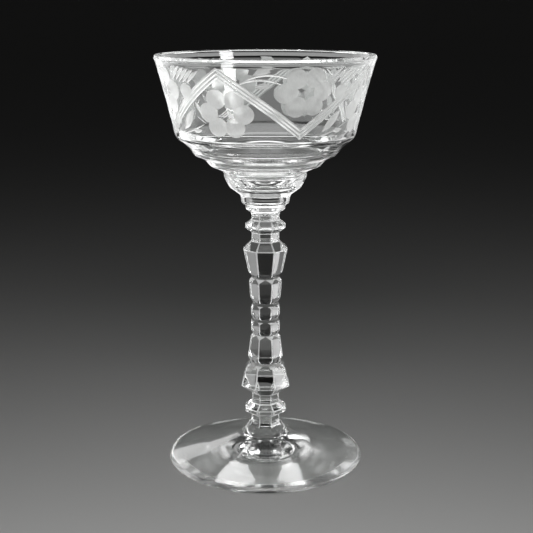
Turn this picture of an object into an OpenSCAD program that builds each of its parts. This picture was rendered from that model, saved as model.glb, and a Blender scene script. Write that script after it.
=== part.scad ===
// Tall stemmed champagne glass with a stepped, flared bowl.
// Millimetres. The origin is at the centre of the ring the foot stands on and +Z runs up the stem.
// The four pieces of glass are fused where they meet, so they share flat faces on the axis.

/* [Whole glass] */
// Height over all
height = 150; // [140:1:165]
// Outside diameter of the bowl at the lip
rim_d = 78; // [74:1:84]
// Diameter of the foot
foot_d = 73.4; // [67:0.2:80]

/* [Bowl] */
// Outside diameter at the shoulder, under the flared wall
shoulder_d = 63.2; // [60:0.2:66]
// Thickness of the wall at the lip
rim_wall = 1.3; // [1:0.1:1.6]
// Thickness of the wall in the stepped part
step_wall = 2.1; // [1.6:0.1:2.6]
// Height of the lowest point of the inside
cavity_floor = 104.8; // [103.5:0.1:106]

/* [Stem] */
// Width across the flats of the necks beside the two wide collars
neck_w = 10; // [9.2:0.2:10.8]
// Width across the flats of the thin beads in the middle
bead_w = 10.6; // [10:0.1:11.4]
// Width across the flats of the widest block, near the foot
base_block_w = 18; // [17:0.1:18.6]

/* [Foot] */
// Height of the dome of the foot where the stem meets it
dome_h = 9.6; // [8.6:0.1:10]
// Height of the middle of the rounded edge
edge_h = 1.4; // [1:0.1:1.8]
// Depth of the shallow hollow under the foot
hollow_h = 2; // [1.4:0.2:2.6]

/* [Hidden] */

$fn = 120;
ARC_STEPS = 3;
// Half the angle above which two edges count as one straight line
STRAIGHT = 89.5;
SIDES = 8;

// Heights where one piece of glass ends and the next begins
collar_z = 94;
bowl_z = 100.5;
// Radii of the two round joints
stem_joint_r = 5.5;
bowl_joint_r = 9.2;
flare_r = 9;
// Distance from the edge of the foot to the hollow under it
hollow_inset = 6;

rim_r = rim_d / 2;
shoulder_r = shoulder_d / 2;
foot_r = foot_d / 2;
neck = neck_w / 2;
bead = bead_w / 2;
base_block = base_block_w / 2;
// The ridges of an octagon lie 1.082 times as far out as its flats, and this is a little more
RIDGE = 1.09;
// How far the flats stand outside the blank where the stem is round
FLATS_CLEAR = 0.25;
// The blank is rounded this much more than the flats, which arches the ends of the flats
BLANK_SOFT = 1.5;

glass = [0.86, 0.92, 0.91, 0.45];

function unit(v) = v / norm(v);

function turned(v, angle) = [v.x * cos(angle) - v.y * sin(angle), v.x * sin(angle) + v.y * cos(angle)];

// The arc that rounds corner b between its neighbours a and c, or b itself where there is no corner
function corner_arc(a, b, c, radius) =
    let (
        u = unit(a - b),
        v = unit(c - b),
        half = acos(max(-1, min(1, u * v))) / 2
    )
    radius <= 0 || half > STRAIGHT ? [b] :
    let (
        reach = min(radius / tan(half), norm(a - b) * 0.49, norm(c - b) * 0.49),
        centre = b + unit(u + v) * reach / cos(half),
        start = b + u * reach - centre,
        sweep = sign(cross(start, b + v * reach - centre)) * (180 - 2 * half)
    )
    [for (i = [0 : ARC_STEPS]) centre + turned(start, sweep * i / ARC_STEPS)];

// An outline of [radius, height, rounding] points with its corners rounded
function rounded(path) = [
    for (i = [0 : len(path) - 1])
        let (at = function(k) [path[k][0], path[k][1]])
        each i == 0 || i == len(path) - 1 ? [at(i)]
            : corner_arc(at(i - 1), at(i), at(i + 1), path[i][2])
];

function reversed(list) = [for (i = [len(list) - 1 : -1 : 0]) list[i]];

// Share of the wall's widening that grows towards the lip, which gives it its slight curve
wall_flare = 0.15;

// Radius of the flared wall at share t of the way from the shoulder (0) to the lip (1)
function wall_r(t, low, high) = low + (high - low) * ((1 - wall_flare) * t + wall_flare * t * t);

function flared_wall(low_r, low_z, high_r, high_z, steps = 12) =
    [for (i = [0 : steps]) let (t = i / steps) [wall_r(t, low_r, high_r), low_z + (high_z - low_z) * t, 0]];

// ---- Bowl: a flared wall over two rounded steps and a small bulb ----

wall_foot_z = 122.8;
lip_z = height - 1.1;

bowl_outside = rounded(concat(
    [
        [bowl_joint_r, bowl_z, 0],
        [bowl_joint_r + 0.2, bowl_z + 0.2, 0.3],
        [13, 103.4, 3],
        [14.8, 106.6, 3],
        [15, 109.1, 0.4],
        [20, 111.3, 1.6],
        [22, 113.6, 0.6],
        [25.7, 115.3, 1.6],
        [27.2, 117.7, 0.6],
        [shoulder_r - 0.1, 121.2, 2.5]
    ],
    flared_wall(shoulder_r + 0.6, wall_foot_z, rim_r - 0.4, lip_z - 1.2),
    [
        [rim_r + 0.1, lip_z, 0.5],
        [rim_r - 0.25, height, 0.5],
        [rim_r - rim_wall * 0.5, height, 0]
    ]
));

bowl_inside = rounded(concat(
    [
        [0, cavity_floor, 0],
        [8.6, cavity_floor, 5],
        [15 - step_wall, 107.8, 2],
        [15.6 - step_wall, 110.6, 1.5],
        [20.4 - step_wall, 112.6, 2.5],
        [22.2 - step_wall, 115.3, 1.5],
        [26.2 - step_wall, 117, 2.5],
        [27.8 - step_wall, 119.4, 1.5],
        [shoulder_r - step_wall, 122.4, 3]
    ],
    flared_wall(shoulder_r + 0.9 - step_wall, wall_foot_z + 1.6, rim_r - 0.4 - rim_wall, lip_z - 1.2),
    [
        [rim_r - rim_wall, height - 0.35, 0.3],
        [rim_r - rim_wall * 0.5, height, 0]
    ]
));

module bowl() {
    color(glass)
        rotate_extrude()
            polygon(concat([[0, bowl_z]], bowl_outside, reversed(bowl_inside)));
}

// ---- Collar: the round button between bowl and stem, with two rounded rings ----

collar_outline = rounded([
    [stem_joint_r, collar_z, 0],
    [stem_joint_r + 0.1, collar_z + 0.3, 0.2],
    [7.2, collar_z + 1.2, 0.8],
    [7.2, collar_z + 2.5, 0.3],
    [8.7, collar_z + 3.7, 1.2],
    [9, collar_z + 5.8, 0.6],
    [bowl_joint_r, bowl_z, 0]
]);

module bowl_collar() {
    color(glass)
        rotate_extrude()
            polygon(concat([[0, collar_z]], collar_outline, [[0, bowl_z]]));
}

// ---- Stem: a turned blank with eight flats pressed along it ----

// Corners from the foot up: half width across the flats, height, rounding, and 1 where the
// flats keep sharp ridges between them or 0 where the blank stays round
stem_corners = [
    [flare_r, dome_h, 0, 0],
    [flare_r, dome_h + 0.7, 0.3, 0],
    [neck + 0.2, 13.8, 2.5, 1],
    [neck + 0.2, 17.4, 0.3, 1],
    [7.5, 18.7, 0.3, 1],
    [7.5, 20.1, 0.3, 1],
    [neck, 22, 0.5, 1],
    [neck, 25.7, 0.5, 1],
    [base_block, 28.9, 0.4, 1],
    [7.1, 35.8, 0.9, 1],
    [5.6, 37.9, 0.15, 0],
    [6.4, 40.5, 0.8, 1],
    [5.6, 46.8, 0.9, 1],
    [4.5, 48.4, 0.15, 0],
    [bead, 50.3, 0.9, 1],
    [bead, 52.6, 0.9, 1],
    [4.5, 54.3, 0.15, 0],
    [bead, 56.4, 0.9, 1],
    [bead, 58.7, 0.9, 1],
    [4.5, 60.4, 0.15, 0],
    [5.5, 62.7, 0.9, 1],
    [6, 68.3, 0.7, 1],
    [4.9, 69.9, 0.15, 0],
    [6.2, 72.3, 1, 1],
    [8, 80.6, 0.4, 1],
    [neck, 83.6, 0.5, 1],
    [neck, 86.8, 0.4, 1],
    [7.3, 88.7, 0.3, 1],
    [7.3, 89.6, 0.3, 1],
    [neck, 91.4, 0.5, 1],
    [neck, 93.3, 0.4, 1],
    [stem_joint_r, collar_z, 0, 0]
];

// Half widths of the flats, which stay clear of the blank where it is round
flats = rounded([for (c = stem_corners) [c[0] + (c[3] == 1 ? 0 : FLATS_CLEAR), c[1], c[2]]]);
// Radii of the turned blank, which stays clear of the ridges where they are sharp
blank = rounded([for (c = stem_corners) [c[0] * (c[3] == 1 ? RIDGE : 1), c[1], c[2] * BLANK_SOFT]]);

module flat_pair() {
    rotate([90, 0, 0])
        linear_extrude(height = 4 * flare_r, center = true)
            polygon(concat(flats, [for (p = reversed(flats)) [-p.x, p.y]]));
}

module stem() {
    color(glass)
        intersection() {
            rotate_extrude()
                polygon(concat([[0, dome_h]], blank, [[0, collar_z]]));
            flat_pair();
            rotate(360 / SIDES) flat_pair();
            rotate(720 / SIDES) flat_pair();
            rotate(1080 / SIDES) flat_pair();
        }
}

// ---- Foot: a disc with a low dome, a rounded edge and a shallow hollow underneath ----

foot_outline = rounded([
    [0, hollow_h, 0],
    [15, hollow_h * 0.9, 40],
    [foot_r - hollow_inset, 0, 8],
    [foot_r - 1.5, 0, 0.8],
    [foot_r, edge_h, 0.9],
    [foot_r - 1.6, edge_h + 1, 1.5],
    [foot_r * 0.62, 5.4, 30],
    [flare_r + 3, dome_h - 0.9, 8],
    [flare_r + 0.4, dome_h, 0]
]);

module foot() {
    color(glass)
        rotate_extrude()
            polygon(concat(foot_outline, [[0, dome_h]]));
}

bowl();
bowl_collar();
stem();
foot();
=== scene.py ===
"""A stemmed champagne glass with a cut bowl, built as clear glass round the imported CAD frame.

The glass is worked out in millimetres, and on_turn makes metres of it. The floor, the lamps and the
camera are in metres. Every outline starts as a list of (radius, height, rounding) corners.
"""

import math
import random

import bmesh
import bpy
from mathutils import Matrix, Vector
from mathutils.geometry import delaunay_2d_cdt


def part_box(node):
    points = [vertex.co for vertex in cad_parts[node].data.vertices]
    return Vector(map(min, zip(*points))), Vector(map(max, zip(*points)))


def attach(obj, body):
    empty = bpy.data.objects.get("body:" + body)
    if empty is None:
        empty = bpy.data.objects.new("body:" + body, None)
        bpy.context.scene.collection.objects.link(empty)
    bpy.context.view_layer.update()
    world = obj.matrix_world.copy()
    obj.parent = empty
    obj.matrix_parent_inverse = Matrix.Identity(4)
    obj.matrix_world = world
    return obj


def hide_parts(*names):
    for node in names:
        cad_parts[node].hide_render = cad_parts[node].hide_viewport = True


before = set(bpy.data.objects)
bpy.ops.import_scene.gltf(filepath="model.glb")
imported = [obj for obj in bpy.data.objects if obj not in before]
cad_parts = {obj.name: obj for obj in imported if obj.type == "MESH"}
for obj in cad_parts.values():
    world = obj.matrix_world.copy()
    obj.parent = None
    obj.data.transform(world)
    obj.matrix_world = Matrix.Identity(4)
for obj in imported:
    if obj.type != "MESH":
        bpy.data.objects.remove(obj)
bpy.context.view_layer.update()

MM = 0.001
BODY = "root"
TURN = 2 * math.pi


# ---- Driving sizes, in millimetres ----
# The overall sizes are read from the frame, and the rest are those of the design.


def node_box(node):
    """Half width, lowest and highest height of a node, in millimetres."""
    low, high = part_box(node)
    return (high[0] - low[0]) / 2 / MM, low[2] / MM, high[2] / MM


BOWL_R, BOWL_Z, HEIGHT = node_box("bowl")
_, COLLAR_Z, _ = node_box("bowl_collar")
_, DOME_H, _ = node_box("stem")
FOOT_R, _, _ = node_box("foot")

# The lip swells this far outside the radius of the rim
LIP_SWELL = 0.1
RIM_R = BOWL_R - LIP_SWELL
SHOULDER_R = 31.6
BOWL_JOINT_R = 9.2
STEM_JOINT_R = 5.5
FLARE_R = 9.0
WALL_FOOT_Z = 122.8
LIP_Z = HEIGHT - 1.1
WALL_TOP_Z = LIP_Z - 1.2
RIM_WALL = 1.3
STEP_WALL = 2.1
CAVITY_FLOOR = 104.8
NECK = 5.0
BEAD = 5.3
BASE_BLOCK = 9.0
EDGE_H = 1.4
# The corner that is rounded into the edge of the foot lies this far outside it
EDGE_CORNER = 0.4
HOLLOW_H = 2.0


# ---- Outlines ----

ARC_STEPS = 8
# Half the angle above which two edges count as one straight line
STRAIGHT = math.radians(89.5)
# Share of the wall's widening that grows towards the lip, which gives it its slight curve
WALL_FLARE = 0.15


def corner_arc(a, b, c, radius):
    """The arc that rounds corner b between its neighbours a and c."""
    a, b, c = Vector(a), Vector(b), Vector(c)
    u, v = (a - b).normalized(), (c - b).normalized()
    half = u.angle(v) / 2
    if radius <= 0 or half > STRAIGHT:
        return [tuple(b)]
    reach = min(radius / math.tan(half), (a - b).length * 0.49, (c - b).length * 0.49)
    centre = b + (u + v).normalized() * reach / math.cos(half)
    start, end = b + u * reach - centre, b + v * reach - centre
    cross = start.x * end.y - start.y * end.x
    sweep = math.copysign(math.pi - 2 * half, cross)
    points = []
    for i in range(ARC_STEPS + 1):
        t = sweep * i / ARC_STEPS
        x = start.x * math.cos(t) - start.y * math.sin(t)
        y = start.x * math.sin(t) + start.y * math.cos(t)
        points.append((centre.x + x, centre.y + y))
    return points


def rounded(corners):
    """(radius, height) points of an outline whose corners are rounded."""
    points = [tuple(corners[0][:2])]
    for before, here, after in zip(corners, corners[1:], corners[2:]):
        points += corner_arc(before[:2], here[:2], after[:2], here[2])
    return points + [tuple(corners[-1][:2])]


def flared(low_r, high_r, t):
    """Radius of the wall at share t of the way from its foot (0) to its top (1)."""
    return low_r + (high_r - low_r) * ((1 - WALL_FLARE) * t + WALL_FLARE * t * t)


def flared_wall(low_r, low_z, high_r, high_z, steps=24):
    """The wall's outline, which flares a little faster towards the lip."""
    shares = [i / steps for i in range(steps + 1)]
    return [(flared(low_r, high_r, t), low_z + (high_z - low_z) * t, 0) for t in shares]


WALL_FOOT_R = SHOULDER_R + 0.6
WALL_TOP_R = RIM_R - 0.4


def wall_radius(z):
    """Outside radius of the flared wall at height z."""
    t = (z - WALL_FOOT_Z) / (WALL_TOP_Z - WALL_FOOT_Z)
    return flared(WALL_FOOT_R, WALL_TOP_R, t)


def bowl_below_wall():
    """Outside of the bowl, from the joint with the collar to the foot of the wall."""
    return rounded(
        [
            (BOWL_JOINT_R, BOWL_Z, 0),
            (BOWL_JOINT_R + 0.2, BOWL_Z + 0.2, 0.3),
            (13, 103.4, 3),
            (14.8, 106.6, 3),
            (15, 109.1, 0.4),
            (20, 111.3, 1.6),
            (22, 113.6, 0.6),
            (25.7, 115.3, 1.6),
            (27.2, 117.7, 0.6),
            (SHOULDER_R - 0.1, 121.2, 2.5),
            (WALL_FOOT_R, WALL_FOOT_Z, 0),
        ]
    )


def bowl_above_wall():
    """From the top of the wall over the lip and down the inside to the middle of the floor."""
    mid = RIM_R - RIM_WALL / 2
    lip = [
        (WALL_TOP_R, WALL_TOP_Z, 0),
        (RIM_R + LIP_SWELL, LIP_Z, 0.5),
        (RIM_R - 0.25, HEIGHT, 0.5),
        (mid, HEIGHT, 0),
        (RIM_R - RIM_WALL, HEIGHT - 0.35, 0.3),
    ]
    inner_wall = flared_wall(
        SHOULDER_R + 0.9 - STEP_WALL, WALL_FOOT_Z + 1.6, WALL_TOP_R - RIM_WALL, WALL_TOP_Z
    )
    steps = [
        (SHOULDER_R - STEP_WALL, 122.4, 3),
        (27.8 - STEP_WALL, 119.4, 1.5),
        (26.2 - STEP_WALL, 117, 2.5),
        (22.2 - STEP_WALL, 115.3, 1.5),
        (20.4 - STEP_WALL, 112.6, 2.5),
        (15.6 - STEP_WALL, 110.6, 1.5),
        (15 - STEP_WALL, 107.8, 2),
        (8.6, CAVITY_FLOOR, 5),
        (4, CAVITY_FLOOR, 0),
        (0, CAVITY_FLOOR, 0),
    ]
    return rounded(lip + inner_wall[::-1] + steps)


def collar_outline():
    """From the joint with the stem to the joint with the bowl, over two rounded rings."""
    return rounded(
        [
            (STEM_JOINT_R, COLLAR_Z, 0),
            (STEM_JOINT_R + 0.1, COLLAR_Z + 0.3, 0.2),
            (7.2, COLLAR_Z + 1.2, 0.8),
            (7.2, COLLAR_Z + 2.5, 0.3),
            (8.7, COLLAR_Z + 3.7, 1.2),
            (9, COLLAR_Z + 5.8, 0.6),
            (BOWL_JOINT_R, BOWL_Z, 0),
        ]
    )


def foot_outline():
    """From the middle of the underside, round the edge and up the dome to the stem."""
    return rounded(
        [
            (0, HOLLOW_H, 0),
            (15, HOLLOW_H * 0.9, 40),
            (FOOT_R - 6, 0, 8),
            (FOOT_R - 1.5, 0, 0.8),
            (FOOT_R + EDGE_CORNER, EDGE_H, 0.9),
            (FOOT_R - 1.2, EDGE_H + 1, 1.5),
            (FOOT_R * 0.62, 5.4, 30),
            (FLARE_R + 3, DOME_H - 0.9, 8),
            (FLARE_R + 0.4, DOME_H, 0),
        ]
    )


# Corners of the stem: half width across the flats, height, rounding, and True where the flats
# keep sharp ridges between them or False where the blank stays round
STEM_CORNERS = [
    (FLARE_R, DOME_H, 0, False),
    (FLARE_R, DOME_H + 0.7, 0.3, False),
    (NECK + 0.2, 13.8, 2.5, True),
    (NECK + 0.2, 17.4, 0.3, True),
    (7.5, 18.7, 0.3, True),
    (7.5, 20.1, 0.3, True),
    (NECK, 22, 0.5, True),
    (NECK, 25.7, 0.5, True),
    (BASE_BLOCK, 28.9, 0.4, True),
    (7.1, 35.8, 0.9, True),
    (5.6, 37.9, 0.15, False),
    (6.4, 40.5, 0.8, True),
    (5.6, 46.8, 0.9, True),
    (4.5, 48.4, 0.15, False),
    (BEAD, 50.3, 0.9, True),
    (BEAD, 52.6, 0.9, True),
    (4.5, 54.3, 0.15, False),
    (BEAD, 56.4, 0.9, True),
    (BEAD, 58.7, 0.9, True),
    (4.5, 60.4, 0.15, False),
    (5.5, 62.7, 0.9, True),
    (6, 68.3, 0.7, True),
    (4.9, 69.9, 0.15, False),
    (6.2, 72.3, 1, True),
    (8, 80.6, 0.4, True),
    (NECK, 83.6, 0.5, True),
    (NECK, 86.8, 0.4, True),
    (7.3, 88.7, 0.3, True),
    (7.3, 89.6, 0.3, True),
    (NECK, 91.4, 0.5, True),
    (NECK, 93.3, 0.4, True),
    (STEM_JOINT_R, COLLAR_Z, 0, False),
]


# ---- Materials ----

GLASS_IOR = 1.52


def new_material(name):
    """An empty node material, its tree and its output."""
    mat = bpy.data.materials.new(name)
    mat.use_nodes = True
    tree = mat.node_tree
    tree.nodes.clear()
    return mat, tree, tree.nodes.new("ShaderNodeOutputMaterial")


def noise(tree, scale, detail=2.0, stretch=(1, 1, 1)):
    """Noise laid out in the object's own metres."""
    place = tree.nodes.new("ShaderNodeTexCoord")
    mapping = tree.nodes.new("ShaderNodeMapping")
    mapping.inputs["Scale"].default_value = stretch
    node = tree.nodes.new("ShaderNodeTexNoise")
    node.inputs["Scale"].default_value = scale
    node.inputs["Detail"].default_value = detail
    tree.links.new(place.outputs["Object"], mapping.inputs["Vector"])
    tree.links.new(mapping.outputs["Vector"], node.inputs["Vector"])
    return node.outputs["Fac"]


def spread(tree, value, low, high, to_low, to_high):
    """Maps value from low..high to to_low..to_high and holds it there."""
    node = tree.nodes.new("ShaderNodeMapRange")
    tree.links.new(value, node.inputs["Value"])
    for name, number in zip(("From Min", "From Max", "To Min", "To Max"), (low, high, to_low, to_high)):
        node.inputs[name].default_value = number
    return node.outputs["Result"]


def bump(tree, height, strength, distance):
    """A normal tilted by the slope of height, where a height of 1 stands for distance in metres."""
    node = tree.nodes.new("ShaderNodeBump")
    node.inputs["Strength"].default_value = strength
    node.inputs["Distance"].default_value = distance
    tree.links.new(height, node.inputs["Height"])
    return node.outputs["Normal"]


def let_lamps_through(tree, shader, output, clear):
    """Glass that lamps shine through in the tint clear, so that its own shadow stays soft."""
    path = tree.nodes.new("ShaderNodeLightPath")
    passing = tree.nodes.new("ShaderNodeBsdfTransparent")
    passing.inputs["Color"].default_value = clear
    mix = tree.nodes.new("ShaderNodeMixShader")
    tree.links.new(path.outputs["Is Shadow Ray"], mix.inputs[0])
    tree.links.new(shader, mix.inputs[1])
    tree.links.new(passing.outputs[0], mix.inputs[2])
    tree.links.new(mix.outputs[0], output.inputs["Surface"])


def clear_glass(name, waves, wave_scale, wear, haze=0.0):
    """Fire-polished glass with slow waves in its surface and faint rubbed patches.

    Its roughness is haze, and in the patches up to wear more.
    """
    mat, tree, output = new_material(name)
    glass = tree.nodes.new("ShaderNodeBsdfPrincipled")
    glass.inputs["Base Color"].default_value = (0.985, 0.992, 0.988, 1)
    glass.inputs["IOR"].default_value = GLASS_IOR
    glass.inputs["Transmission Weight"].default_value = 1.0
    wear_and_painted_highlight = noise(tree, 900, 3.0)
    tree.links.new(spread(tree, wear_and_painted_highlight, 0.62, 0.8, haze, haze + wear), glass.inputs["Roughness"])
    surface = bump(tree, noise(tree, wave_scale, 1.0, (1, 1, 1.6)), waves, 0.002)
    tree.links.new(surface, glass.inputs["Normal"])
    let_lamps_through(tree, glass.outputs[0], output, (0.93, 0.94, 0.935, 1))
    return mat


def cut_glass():
    """The matt floor of a wheel cut: white, with fine grinding marks."""
    mat, tree, output = new_material("cut_glass")
    matt = tree.nodes.new("ShaderNodeBsdfPrincipled")
    matt.inputs["IOR"].default_value = GLASS_IOR
    matt.inputs["Transmission Weight"].default_value = 0.46
    grain = noise(tree, 2600, 4.0, (1, 1, 0.35))
    blend = tree.nodes.new("ShaderNodeMix")
    blend.data_type = "RGBA"
    blend.inputs["A"].default_value = (0.84, 0.85, 0.84, 1)
    blend.inputs["B"].default_value = (0.96, 0.97, 0.96, 1)
    tree.links.new(spread(tree, grain, 0.3, 0.7, 0.0, 1.0), blend.inputs["Factor"])
    tree.links.new(blend.outputs["Result"], matt.inputs["Base Color"])
    tree.links.new(spread(tree, grain, 0.3, 0.7, 0.14, 0.22), matt.inputs["Roughness"])
    let_lamps_through(tree, matt.outputs[0], output, (0.45, 0.46, 0.455, 1))
    return mat


def painted_edge_highlight():
    """Painted highlight on the edges between the flats and on crisp corners: whitish, faintly matt glass
    that shows bright against the clear flats.
    """
    mat, tree, output = new_material("painted_edge_highlight")
    wear_and_painted_highlight = tree.nodes.new("ShaderNodeBsdfPrincipled")
    # Whitish base colour of the painted edge highlight
    wear_and_painted_highlight.inputs["Base Color"].default_value = (0.93, 0.94, 0.935, 1)
    wear_and_painted_highlight.inputs["IOR"].default_value = GLASS_IOR
    wear_and_painted_highlight.inputs["Transmission Weight"].default_value = 0.6
    wear_and_painted_highlight.inputs["Roughness"].default_value = 0.35
    let_lamps_through(tree, wear_and_painted_highlight.outputs[0], output, (0.8, 0.81, 0.805, 1))
    return mat


def fused_joint():
    """Where two pieces are fused there is no surface, so light goes straight on."""
    mat, tree, output = new_material("fused_joint")
    passing = tree.nodes.new("ShaderNodeBsdfTransparent")
    tree.links.new(passing.outputs[0], output.inputs["Surface"])
    return mat


# ---- Meshes ----

COLUMNS = 240
# Points closer than this are one point, in metres
WELD = 2e-6
# A radius below this is a point on the axis
ON_AXIS = 1e-6
# Material slots of a mesh: polished glass, fused joints, and matt glass, which is the ground wheel cuts
# on the bowl and the painted highlight on the stem's edges
CLEAR, JOINT, MATT = 0, 1, 2


def on_turn(radius, angle, z):
    """A point at an angle from the front, positive to the right, in metres."""
    return Vector((radius * math.sin(angle), -radius * math.cos(angle), z)) * MM


def lathe(bm, outline, material=CLEAR, columns=COLUMNS):
    """Turns an outline of (radius, height) points into a skin; a point on the axis closes it."""
    angles = [TURN * k / columns - math.pi for k in range(columns)]
    rings = []
    for radius, z in outline:
        around = angles if radius > ON_AXIS else angles[:1]
        rings.append([bm.verts.new(on_turn(radius, angle, z)) for angle in around])
    for low, high in zip(rings, rings[1:]):
        for k in range(columns):
            after = (k + 1) % columns
            corners = (
                low[k % len(low)],
                low[after % len(low)],
                high[after % len(high)],
                high[k % len(high)],
            )
            unique = list(dict.fromkeys(corners))
            bm.faces.new(unique).material_index = material


def to_object(bm, name, materials):
    """Puts a skin into the scene as an object."""
    mesh = bpy.data.meshes.new(name)
    bm.to_mesh(mesh)
    bm.free()
    for mat in materials:
        mesh.materials.append(mat)
    obj = bpy.data.objects.new(name, mesh)
    bpy.context.scene.collection.objects.link(obj)
    return obj


def finished(bm, name, materials, sharp_deg=35.0):
    """Welds a skin into one closed mesh, shades it smooth between its sharp edges and returns it."""
    bmesh.ops.remove_doubles(bm, verts=bm.verts, dist=WELD)
    bmesh.ops.dissolve_degenerate(bm, edges=bm.edges, dist=WELD / 2)
    bmesh.ops.recalc_face_normals(bm, faces=bm.faces)
    open_edges = [e for e in bm.edges if not e.is_manifold]
    if open_edges:
        print(name, "has", len(open_edges), "open edges")
    for face in bm.faces:
        face.smooth = True
    for edge in bm.edges:
        kinds = {f.material_index for f in edge.link_faces}
        edge.smooth = len(kinds) == 1 and edge.calc_face_angle(0.0) < math.radians(sharp_deg)
    return to_object(bm, name, materials)


def weighted_normals(piece):
    """Shades flats flat beside small roundings."""
    modifier = piece.modifiers.new("weighted", "WEIGHTED_NORMAL")
    modifier.mode = "FACE_AREA"
    modifier.keep_sharp = True
    modifier.weight = 50


# ---- Wheel cuts on the bowl ----
# They are drawn on the wall rolled out flat: u is the way round at radius ROLL_R and v the height.
# All of this is in millimetres.

ROLL_R = 36.0
ROLL_LENGTH = TURN * ROLL_R
# The upper flower sits this much lower in each repeat, as it was placed by eye
FLOWER_DROPS = [0, 0, 3.8, 0.4]
REPEATS = len(FLOWER_DROPS)
FIRST_APEX_DEG = -24.8
# Petals were ground by hand, so they differ a little, but in the same way on each run
rng = random.Random(7)


class Cut:
    """One wheel cut: its closed outline, the lines along its bottom, and its depth.

    It reaches its full depth at half_width from the outline.
    """

    def __init__(self, outline, lines, half_width, depth):
        self.outline = outline
        self.lines = lines
        self.half_width = half_width
        self.depth = depth
        self.low = (min(p[0] for p in outline), min(p[1] for p in outline))
        self.high = (max(p[0] for p in outline), max(p[1] for p in outline))

    def moved(self, du):
        """The same cut further round the wall."""

        def shift(path):
            return [(u + du, v) for u, v in path]

        lines = [shift(line) for line in self.lines]
        return Cut(shift(self.outline), lines, self.half_width, self.depth)

    def near(self, u, v):
        """True if the point is inside the cut's box."""
        return self.low[0] < u < self.high[0] and self.low[1] < v < self.high[1]

    def edges(self):
        """The sides of the outline, one pair of points each."""
        return zip(self.outline, self.outline[1:] + self.outline[:1])

    def holds(self, u, v):
        """True if the point is inside the outline."""
        if not self.near(u, v):
            return False
        inside = False
        for (u0, v0), (u1, v1) in self.edges():
            if (v0 > v) != (v1 > v) and u < u0 + (v - v0) / (v1 - v0) * (u1 - u0):
                inside = not inside
        return inside

    def inset(self, u, v):
        """Distance of an inner point from the outline."""
        best = math.inf
        for (u0, v0), (u1, v1) in self.edges():
            du, dv = u1 - u0, v1 - v0
            t = min(max(((u - u0) * du + (v - v0) * dv) / (du * du + dv * dv), 0.0), 1.0)
            best = min(best, math.hypot(u0 + du * t - u, v0 + dv * t - v))
        return best

    def depth_at(self, u, v):
        """Depth of the cut, round across its width."""
        if not self.holds(u, v):
            return 0.0
        share = min(self.inset(u, v) / self.half_width, 1.0)
        return self.depth * share * (2 - share)


def roll(deg):
    """Way round the wall, in millimetres at radius ROLL_R, for an angle in degrees."""
    return math.radians(deg) * ROLL_R


def resample(path, step):
    """Points along a path, at most step apart."""
    points = [path[0]]
    for (u0, v0), (u1, v1) in zip(path, path[1:]):
        parts = max(1, math.ceil(math.hypot(u1 - u0, v1 - v0) / step))
        points += [(u0 + (u1 - u0) * i / parts, v0 + (v1 - v0) * i / parts) for i in range(1, parts + 1)]
    return points


def bent(start, middle, end, steps=14):
    """A curve from start to end that passes through middle."""
    pull = [2 * m - (s + e) / 2 for s, m, e in zip(start, middle, end)]
    curve = []
    for i in range(steps + 1):
        t = i / steps
        weights = ((1 - t) ** 2, 2 * t * (1 - t), t * t)
        curve.append(tuple(sum(w * x for w, x in zip(weights, axis)) for axis in zip(start, pull, end)))
    return curve


# Spacing of the points along a stroke
STROKE_STEP = 0.7
# Below 1, this keeps a stroke wide for most of its length
SWELL_POWER = 0.6


def stroke(path, width, depth, ends=0.25):
    """A cut along a path, widest in the middle; ends is the share of its width kept at the tips."""
    path = resample(path, STROKE_STEP)
    left, right = [], []
    count = len(path) - 1
    for i, (u, v) in enumerate(path):
        before, after = path[max(i - 1, 0)], path[min(i + 1, count)]
        du, dv = after[0] - before[0], after[1] - before[1]
        length = math.hypot(du, dv)
        swell = ends + (1 - ends) * math.sin(math.pi * i / count) ** SWELL_POWER
        half = width / 2 * swell
        left.append((u - dv / length * half, v + du / length * half))
        right.append((u + dv / length * half, v - du / length * half))
    return Cut(left + right[::-1], [path[1:-1]], width / 2, depth)


# A disc's height beside its width
OVAL = 0.92
DISC_POINTS = 52
# Rings of points inside a disc: share of its radius, and how many points
DISC_RINGS = ((0.86, 36), (0.66, 24), (0.4, 14))


def disc(u, v, radius, depth):
    """A dished cut, a little wider than it is high."""
    wide = ROLL_R / wall_radius(v)

    def ring(r, count):
        angles = [TURN * i / count for i in range(count)]
        return [(u + wide * r * math.cos(a), v + OVAL * r * math.sin(a)) for a in angles]

    inner = [ring(radius * share, count) for share, count in DISC_RINGS]
    return Cut(ring(radius, DISC_POINTS), inner + [[(u, v)]], radius, depth)


def leaf(start, end, width, depth, bow=0.0):
    """A pointed leaf between two tips, bowed to one side."""
    du, dv = end[0] - start[0], end[1] - start[1]
    length = math.hypot(du, dv)

    def line(off):
        """A curve between the tips that passes off to the side of the middle."""
        u = (start[0] + end[0]) / 2 - dv / length * off
        v = (start[1] + end[1]) / 2 + du / length * off
        return bent(start, (u, v), end)

    upper, lower, spine = line(bow + width / 2), line(bow - width / 2), line(bow)
    halves = [line(bow + width * share)[2:-2] for share in (-0.28, 0.28)]
    return Cut(upper + lower[-2:0:-1], [spine[1:-1]] + halves, width / 2, depth)


def polygon_cut(points, depth, half_width):
    """A cut with straight sides and pointed corners."""
    outline = resample(points + points[:1], 0.5)[:-1]
    centre = (sum(p[0] for p in points) / len(points), sum(p[1] for p in points) / len(points))
    return Cut(outline, [[centre]], half_width, depth)


PETALS = 6
PETAL_R = 3.6
FLOWER_R = 6.25
# A flower's height beside its width
FLOWER_OVAL = 0.85
# How far a flower may lean, in radians
MOST_LEAN = 0.08
# The three fine lines across a flower: half their length, their spacing and their slant
LINE_HALF = 2.5
LINE_PITCH = 0.62
LINE_SLANT = math.radians(34)
BAND_STROKES = 3
BAND_PITCH = 1.08
BAND_DEPTH = 0.24
# How far the strokes of a leg run past the turn of the zigzag
BAND_OVERRUN = 0.3
APEX_Z = 145.5
TROUGH_Z = 125.5
HALF_CELL_DEG = 180.0 / REPEATS


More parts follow.
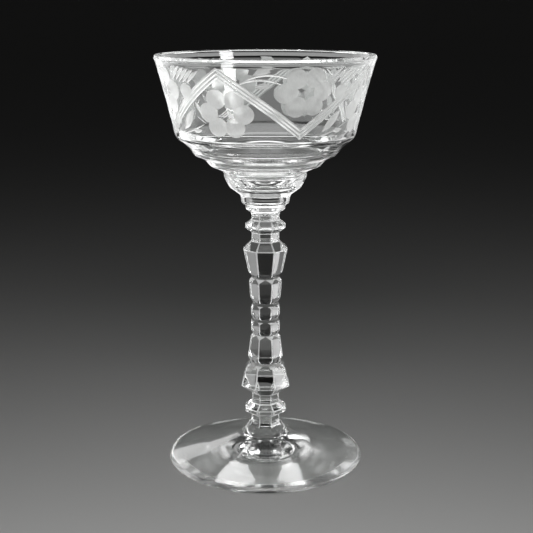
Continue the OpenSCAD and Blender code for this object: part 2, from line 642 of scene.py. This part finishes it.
def flower(deg, z):
    """Six round cuts in a ring, with three fine lines across the middle."""
    u0 = roll(deg)
    lean = rng.uniform(-MOST_LEAN, MOST_LEAN)
    along = (LINE_HALF * math.cos(LINE_SLANT), LINE_HALF * math.sin(LINE_SLANT))
    cuts = []
    for k in (-1, 0, 1):
        u = u0 - LINE_PITCH * k * math.sin(LINE_SLANT)
        v = z + LINE_PITCH * k * math.cos(LINE_SLANT)
        tips = [(u - along[0], v - along[1]), (u + along[0], v + along[1])]
        cuts.append(stroke(tips, 0.32, 0.1))
    for k in range(PETALS):
        a = TURN * k / PETALS + lean
        u = u0 + FLOWER_R * math.cos(a) * ROLL_R / wall_radius(z)
        v = z + FLOWER_R * math.sin(a) * FLOWER_OVAL
        cuts.append(disc(u, v, PETAL_R * rng.uniform(0.96, 1.04), rng.uniform(0.2, 0.26)))
    return cuts


def zigzag(apex_deg):
    """One apex of the band, with its two legs, as parallel mitre strokes."""
    rise, run = APEX_Z - TROUGH_Z, roll(HALF_CELL_DEG)
    length = math.hypot(rise, run)
    over_u, over_v = BAND_OVERRUN * run / length, BAND_OVERRUN * rise / length
    cuts = []
    for side in (-1, 1):
        for k in range(BAND_STROKES):
            off = (k - (BAND_STROKES - 1) / 2) * BAND_PITCH * length / run
            low = (roll(apex_deg) + side * (run + over_u), TROUGH_Z + off - over_v)
            high = (roll(apex_deg) - side * over_u, APEX_Z + off + over_v)
            cuts.append(stroke([low, high], BAND_PITCH * 0.97, BAND_DEPTH, ends=0.85))
    return cuts


def cell(apex_deg, drop):
    """Every cut of one repeat, placed from the apex of the zigzag; drop lowers its upper flower."""

    def at(deg, z):
        return roll(apex_deg + deg), z

    cuts = flower(apex_deg + 2.6, 132.3) + flower(apex_deg + 46, 139.3 - drop)
    cuts += zigzag(apex_deg)
    # Each leaf or stroke below gives its tips as degrees from the apex and height, then width and depth.
    # The leaf, its stalk and two small leaves left of the lower flower
    cuts.append(leaf(at(-30.5, 126), at(-19, 133), 3.1, 0.28, bow=-0.25))
    cuts.append(stroke(bent(at(-38.5, 124.2), at(-27, 125.1), at(-12, 128.4)), 0.55, 0.14))
    cuts.append(stroke([at(-16.6, 131), at(-10.4, 128.6)], 0.4, 0.1))
    cuts.append(leaf(at(-27, 123.9), at(-18.5, 124.4), 0.95, 0.12))
    cuts.append(leaf(at(-22.5, 126.2), at(-14.5, 126.3), 1.5, 0.16, bow=-0.3))
    # The thistle above the left leg: a round bud and its fan of leaves
    cuts.append(disc(*at(-21.7, 139), 2.9, 0.2))
    for k in range(5):
        start = at(-31.3 + 2.9 * k, 142.9 - 0.3 * k)
        end = at(-23.2 + 3.2 * k, 147.35 - 0.3 * k)
        cuts.append(leaf(start, end, 1.35, 0.2, bow=0.2))
    cuts.append(leaf(at(-16.2, 135.9), at(-13.6, 131.9), 1.3, 0.14, bow=0.3))
    cuts.append(stroke([at(-36.8, 129.9), at(-32.8, 131.4)], 0.5, 0.12))
    cuts.append(stroke([at(-34.1, 146.9), at(-28.9, 144.3)], 0.5, 0.12))
    # The forked leaf, the small leaf and two bent stalks above the right leg
    fork = [(18.4, 144.9), (21.3, 147.1), (28, 147.3), (26.9, 146.6), (27.4, 145.9), (23.5, 145.2)]
    cuts.append(polygon_cut([at(*point) for point in fork], 0.16, 1.0))
    cuts.append(leaf(at(19.8, 141.5), at(27.9, 141.7), 1.8, 0.2))
    cuts.append(stroke(bent(at(11.5, 142.1), at(24, 145), at(36.5, 143.7)), 0.75, 0.16))
    cuts.append(stroke(bent(at(11.5, 142), at(22, 143.5), at(33, 142)), 0.75, 0.16))
    return cuts


def all_cuts():
    """The whole decoration, with what crosses the back seam drawn on both sides of it."""
    cuts = []
    for k, drop in enumerate(FLOWER_DROPS):
        cuts += cell(FIRST_APEX_DEG + 360 / REPEATS * k, drop)
    half = ROLL_LENGTH / 2
    whole = []
    for c in cuts:
        while c.low[0] > half:
            c = c.moved(-ROLL_LENGTH)
        whole.append(c)
        if c.high[0] > half:
            whole.append(c.moved(-ROLL_LENGTH))
        if c.low[0] < -half:
            whole.append(c.moved(ROLL_LENGTH))
    return whole


# Spacing of the plain mesh between the cuts, and how far it keeps off the points of a cut
GRID_STEP = 1.05
KEEP_OFF = 0.42
# Points of the rolled-out wall closer than this are one point
MERGE = 1e-6
# Rows of points along the back seam
SEAM_ROWS = 18


def rolled_wall(cuts):
    """Triangles of the rolled-out wall: points, faces, and which faces are cut."""
    points, edges = [], []
    half = ROLL_LENGTH / 2
    low_z, high_z = WALL_FOOT_Z, WALL_TOP_Z

    def add(path, closed):
        """Adds a path whose edges the triangles have to keep."""
        first = len(points)
        points.extend(path)
        count = len(path)
        edges.extend((first + i, first + i + 1) for i in range(count - 1))
        if closed and count > 2:
            edges.append((first + count - 1, first))

    for v in (low_z, high_z):
        add([(-half + ROLL_LENGTH * k / COLUMNS, v) for k in range(COLUMNS + 1)], False)
    for u in (-half, half):
        add([(u, low_z + (high_z - low_z) * k / SEAM_ROWS) for k in range(1, SEAM_ROWS)], False)
    for c in cuts:
        add(c.outline, True)
        for line in c.lines:
            add(line, False)
    taken = {(math.floor(u / KEEP_OFF), math.floor(v / KEEP_OFF)) for u, v in points}
    for j in range(1, int((high_z - low_z) / GRID_STEP) + 1):
        v = low_z + j * GRID_STEP
        for i in range(int(ROLL_LENGTH / GRID_STEP)):
            # Every other row is set back by half a step, which makes even triangles
            u = -half + (i + 0.5 * (j % 2) + 0.4) * GRID_STEP
            column, row = math.floor(u / KEEP_OFF), math.floor(v / KEEP_OFF)
            free = all((column + a, row + b) not in taken for a in (-1, 0, 1) for b in (-1, 0, 1))
            if free and v < high_z - KEEP_OFF and abs(u) < half - KEEP_OFF:
                points.append((u, v))
    flat, _, faces = delaunay_2d_cdt([Vector(p) for p in points], edges, [], 0, MERGE)[:3]
    kept, is_cut = [], []
    for face in faces:
        u = sum(flat[i].x for i in face) / len(face)
        v = sum(flat[i].y for i in face) / len(face)
        if abs(u) > half or not low_z < v < high_z:
            continue
        kept.append(face)
        is_cut.append(any(c.holds(u, v) for c in cuts))
    return flat, kept, is_cut


def wall_point(u, v, depth):
    """A point of the outside wall, sunk by depth along the wall's normal."""
    step = 0.01
    slope = (wall_radius(v + step) - wall_radius(v - step)) / (2 * step)
    square = math.hypot(1, slope)
    return on_turn(wall_radius(v) - depth / square, u / ROLL_R, v + depth * slope / square)


def make_bowl(materials):
    """The bowl, with its decoration cut into the outside of the wall."""
    bm = bmesh.new()
    lathe(bm, [(0, BOWL_Z), (BOWL_JOINT_R, BOWL_Z)], JOINT)
    lathe(bm, bowl_below_wall())
    lathe(bm, bowl_above_wall())
    cuts = all_cuts()
    flat, faces, is_cut = rolled_wall(cuts)
    verts = {}
    for face, cut in zip(faces, is_cut):
        corners = []
        for i in face:
            if i not in verts:
                u, v = flat[i]
                depth = max([c.depth_at(u, v) for c in cuts if c.near(u, v)] or [0.0])
                verts[i] = bm.verts.new(wall_point(u, v, depth))
            corners.append(verts[i])
        bm.faces.new(corners).material_index = MATT if cut else CLEAR
    return finished(bm, "cut_bowl", materials, sharp_deg=28.0)


def make_collar(materials):
    """The turned collar between bowl and stem."""
    bm = bmesh.new()
    lathe(bm, [(0, COLLAR_Z), (STEM_JOINT_R, COLLAR_Z)], JOINT)
    lathe(bm, collar_outline())
    lathe(bm, [(BOWL_JOINT_R, BOWL_Z), (0, BOWL_Z)], JOINT)
    return finished(bm, "turned_collar", materials)


def make_foot(materials):
    """The round foot, with its hollow underside."""
    bm = bmesh.new()
    lathe(bm, foot_outline() + [(FLARE_R, DOME_H)])
    lathe(bm, [(FLARE_R, DOME_H), (0, DOME_H)], JOINT)
    return finished(bm, "domed_foot", materials)


# ---- Stem ----

SIDES = 8
# How far out the ridges of an octagon lie beside its flats
RIDGE = 1 / math.cos(math.pi / SIDES)
# How far the flats stand outside the blank where the stem is round, in millimetres
FLATS_CLEAR = 0.25
# The blank's radius beside the half width of the flats where the ridges are sharp
BLANK_CLEAR = 1.09
# Polishing leaves the ridges this share of their sharp radius, and the flats slightly crowned
RIDGE_SOFT = 0.985
CROWN = 0.012
# The blank is rounded this much more than the flats, which arches the ends of the flats
BLANK_SOFT = 1.5
# Rows of points up the stem are at most this far apart
ROW_STEP = 1.2
# A corner with less rounding than this is crisp, and gets the painted edge highlight this far above and
# below its middle
CRISP = 0.6
EDGE_HIGHLIGHT_HALF = 0.2
# Half the width that a land may have and still count as a ridge
RIDGE_HALF = 0.38
# Faces across half a flat, and across half a land
FLAT_STEPS = 6
LAND_STEPS = 3


def stem_rows():
    """Height, half width of the flats and radius of the blank, row by row."""
    flats, blank = [], []
    for half_width, z, rounding, sharp in STEM_CORNERS:
        flats.append((half_width + (0 if sharp else FLATS_CLEAR), z, rounding))
        blank.append((half_width * (BLANK_CLEAR if sharp else 1), z, rounding * BLANK_SOFT))
    flats, blank = rounded(flats), rounded(blank)

    def at(outline, z):
        """Radius of an outline at height z."""
        for (r0, z0), (r1, z1) in zip(outline, outline[1:]):
            if z0 <= z <= z1:
                return r0 + (r1 - r0) * ((z - z0) / (z1 - z0) if z1 > z0 else 0)
        return outline[-1][0]

    heights = sorted({round(z, 3) for _, z in flats + blank})
    rows = [heights[0]]
    for z in heights[1:]:
        parts = max(1, math.ceil((z - rows[-1]) / ROW_STEP))
        rows += [rows[-1] + (z - rows[-1]) * (i + 1) / parts for i in range(parts)]
    return [(z, at(flats, z), min(at(blank, z), at(flats, z) * RIDGE * RIDGE_SOFT)) for z in rows]


def on_corner(low_z, high_z):
    """True if a band between two rows lies on a crisp corner of the outline."""
    middle = (low_z + high_z) / 2
    crisp = [z for _, z, rounding, sharp in STEM_CORNERS if sharp and rounding < CRISP]
    return any(abs(middle - z) < EDGE_HIGHLIGHT_HALF for z in crisp)


def stem_ring(half_width, radius):
    """(radius, angle) round one row: eight crowned flats with round lands between them."""
    half = math.pi / SIDES
    edge = min(math.acos(min(half_width / radius, 1.0)), half)
    flat_part = [edge * i / FLAT_STEPS for i in range(FLAT_STEPS + 1)]
    land = [edge + (half - edge) * i / LAND_STEPS for i in range(1, LAND_STEPS + 1)]
    side = flat_part + land
    angles = [-a for a in side[:0:-1]] + side[:-1]
    ring = []
    for k in range(SIDES):
        for a in angles:
            crowned = half_width * (1 - CROWN * (a / half) ** 2) / math.cos(a)
            ring.append((min(crowned, radius * (1 - CROWN)), k * 2 * half + a))
    return ring


def make_stem(materials):
    """The octagonal stem, with a painted highlight of whitish matt glass on the edges between its flats
    and on its crisp corners.
    """
    bm = bmesh.new()
    rows = stem_rows()
    rings = []
    for z, half_width, radius in rows:
        rings.append([bm.verts.new(on_turn(r, a, z)) for r, a in stem_ring(half_width, radius)])
    per_side = 2 * (FLAT_STEPS + LAND_STEPS)
    for i, (low, high) in enumerate(zip(rings, rings[1:])):
        corner = on_corner(rows[i][0], rows[i + 1][0])
        for k in range(len(low)):
            after = (k + 1) % len(low)
            on_land = min(k % per_side, per_side - 1 - k % per_side) < LAND_STEPS
            land_half = (low[k].co - low[after].co).length * LAND_STEPS / MM
            ridge = on_land and land_half < RIDGE_HALF
            face = bm.faces.new((low[k], low[after], high[after], high[k]))
            # Ridges and crisp corners get the whitish matt glass, a painted highlight along the edges
            face.material_index = MATT if corner or ridge else CLEAR
    for ring, z in ((rings[0], DOME_H), (rings[-1], COLLAR_Z)):
        centre = bm.verts.new((0, 0, z * MM))
        for k in range(len(ring)):
            bm.faces.new((centre, ring[k], ring[(k + 1) % len(ring)])).material_index = JOINT
    piece = finished(bm, "octagonal_stem", materials, sharp_deg=50.0)
    weighted_normals(piece)
    return piece


# ---- The pieces ----

joint = fused_joint()
bowl = make_bowl([clear_glass("bowl_glass", 0.12, 35, 0.05), joint, cut_glass()])
collar = make_collar([clear_glass("collar_glass", 0.08, 90, 0.05), joint])
stem = make_stem([clear_glass("stem_glass", 0.06, 120, 0.06), joint, painted_edge_highlight()])
foot = make_foot([clear_glass("foot_glass", 0.12, 55, 0.1, haze=0.06), joint])

for piece, node, slot in (
    (bowl, "bowl", "cut_glass"),
    (collar, "bowl_collar", "clear_glass"),
    (stem, "stem", "clear_glass"),
    (foot, "foot", "clear_glass"),
):
    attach(piece, BODY)
    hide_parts(node)


# ---- Floor, light and camera ----

# (radius, height) of the flat floor and of the curve that turns it up into a wall
FLOOR_FLAT = [(0, 0), (0.3, 0), (1, 0), (2, 0)]
FLOOR_WALL = [(3, 0), (3.3, 0.04), (3.55, 0.15), (3.75, 0.35), (3.85, 0.6), (3.9, 1)]
FLOOR_COLUMNS = 96
# The floor lies this far under the glass, so that the two surfaces don't meet
FLOOR_GAP = 0.0001


def pale_floor():
    """Pale matt paper."""
    mat, tree, output = new_material("pale_floor")
    matt = tree.nodes.new("ShaderNodeBsdfPrincipled")
    matt.inputs["Base Color"].default_value = (0.72, 0.72, 0.71, 1)
    matt.inputs["Roughness"].default_value = 0.8
    tree.links.new(matt.outputs[0], output.inputs["Surface"])
    return mat


def make_floor():
    """A floor that curves up into a wall far behind the glass on every side."""
    bm = bmesh.new()
    lathe(bm, [(r / MM, z / MM) for r, z in FLOOR_FLAT + FLOOR_WALL], columns=FLOOR_COLUMNS)
    bmesh.ops.reverse_faces(bm, faces=bm.faces)
    for face in bm.faces:
        face.smooth = True
    floor = to_object(bm, "floor", [pale_floor()])
    floor.location.z = -FLOOR_GAP
    return floor


def group(name, members):
    """A collection for light linking."""
    linked = bpy.data.collections.new(name)
    for obj in members:
        linked.objects.link(obj)
    return linked


def softbox(name, place, target, size, radiance, lit, mirrored=True):
    """An area lamp out of the camera's sight that faces target and lights only the objects in lit.

    One that isn't mirrored lights matt surfaces and leaves no highlight in clear glass.
    """
    data = bpy.data.lights.new(name, "AREA")
    data.shape = "RECTANGLE"
    data.size, data.size_y = size
    data.energy = radiance * math.pi * size[0] * size[1]
    lamp = bpy.data.objects.new(name, data)
    bpy.context.scene.collection.objects.link(lamp)
    lamp.location = place
    lamp.rotation_euler = (Vector(target) - Vector(place)).to_track_quat("-Z", "Y").to_euler()
    lamp.visible_camera = False
    lamp.visible_glossy = mirrored
    lamp.visible_transmission = mirrored
    lamp.light_linking.receiver_collection = lit


def pair(name, place, target, size, left, right, lit):
    """Two lamps that mirror each other across the glass, each with its own radiance."""
    for word, side, radiance in (("right", 1, right), ("left", -1, left)):
        softbox(f"{word}_{name}", (side * place[0], *place[1:]), target, size, radiance, lit)


floor = make_floor()
the_glass = group("the_glass", (bowl, collar, stem, foot))
below_bowl = group("below_bowl", (collar, stem, foot))
all_but_stem = group("all_but_stem", (bowl, collar, foot))
the_top = group("the_top", (bowl, collar))
the_bowl = group("the_bowl", (bowl,))
the_stem = group("the_stem", (stem,))
the_foot = group("the_foot", (foot,))
the_floor = group("the_floor", (floor,))

# A pool of light on the floor in front of the glass
softbox("pool", (0, -0.33, 0.3), (0, -0.33, 0), (0.25, 0.25), 5, the_floor)

# Panels at the sides, which brighten the edges of the glass
softbox("right_card", (0.1, -0.014, 0.05), (0, -0.014, 0.05), (0.04, 0.1), 7, below_bowl)
pair("side", (0.16, 0.03, 0.09), (0, 0.03, 0.09), (0.26, 0.18), 0.85, 0.75, the_glass)
pair("back", (0.125, 0.22, 0.09), (0, 0, 0.08), (0.07, 0.18), 0.16, 0.3, the_glass)
pair("wide", (0.3, 0.35, 0.14), (0, 0, 0.12), (0.35, 0.25), 1.15, 0.65, the_bowl)
pair("strip", (0.094, 0.35, 0.09), (0, 0, 0.06), (0.015, 0.26), 1.5, 1.5, the_stem)

# Panels behind, which the wall, the steps and the inside of the lip pick up
softbox("back_top", (0, 0.5, 0.42), (0, 0, 0.1), (0.7, 0.22), 1.5, the_top)
softbox("back_high", (0, 0.5, 0.2), (0, 0, 0.12), (0.8, 0.12), 0.32, the_bowl)
softbox("back_low", (0, 0.6, 0.06), (0, 0, 0.08), (1.2, 0.1), 0.15, the_top)
softbox("back_floor", (-0.08, 0.26, 0.004), (-0.08, 0.26, 1), (0.32, 0.2), 1.5, the_bowl)

# The window mirrored in the wall, and the patches of light on the foot
softbox("window", (0.38, -0.33, 0.36), (0, 0, 0.13), (0.15, 0.2), 16, the_glass)
softbox("foot_front", (-0.01, 0.37, 0.45), (0, -0.03, 0), (0.24, 0.07), 8, the_foot)
softbox("foot_left", (-0.2, 0.5, 0.25), (0, 0, 0), (0.16, 0.12), 2.4, the_foot)

# Light for the matt cuts
softbox("overhead", (0, 0, 0.7), (0, 0, 0), (0.6, 0.6), 1.5, all_but_stem)
softbox("front", (-0.66, -0.38, 0.4), (0, 0, 0.08), (0.5, 0.25), 15, the_glass, mirrored=False)

# A studio with next to no stray light
world = bpy.data.worlds.new("studio")
world.use_nodes = True
world.node_tree.nodes["Background"].inputs["Color"].default_value = (0.008, 0.008, 0.008, 1)
bpy.context.scene.world = world

# The camera stands in front of the glass, above the lip, and looks down by this angle
CAMERA_PLACE = (0.0004, -0.3956, 0.1685)
CAMERA_DOWN_DEG = 13.48

camera_data = bpy.data.cameras.new("camera")
camera_data.lens = 75.2
camera_data.sensor_width = 36
camera = bpy.data.objects.new("camera", camera_data)
bpy.context.scene.collection.objects.link(camera)
camera.location = CAMERA_PLACE
camera.rotation_euler = (math.radians(90 - CAMERA_DOWN_DEG), 0, 0)
bpy.context.scene.camera = camera

# Light passes many surfaces of clear glass before it reaches the camera
cycles = bpy.context.scene.cycles
cycles.max_bounces = 24
cycles.transmission_bounces = 24
cycles.glossy_bounces = 12
cycles.transparent_max_bounces = 24
cycles.caustics_reflective = False
cycles.caustics_refractive = False
cycles.sample_clamp_indirect = 25.0
bpy.context.scene.view_settings.view_transform = "Standard"
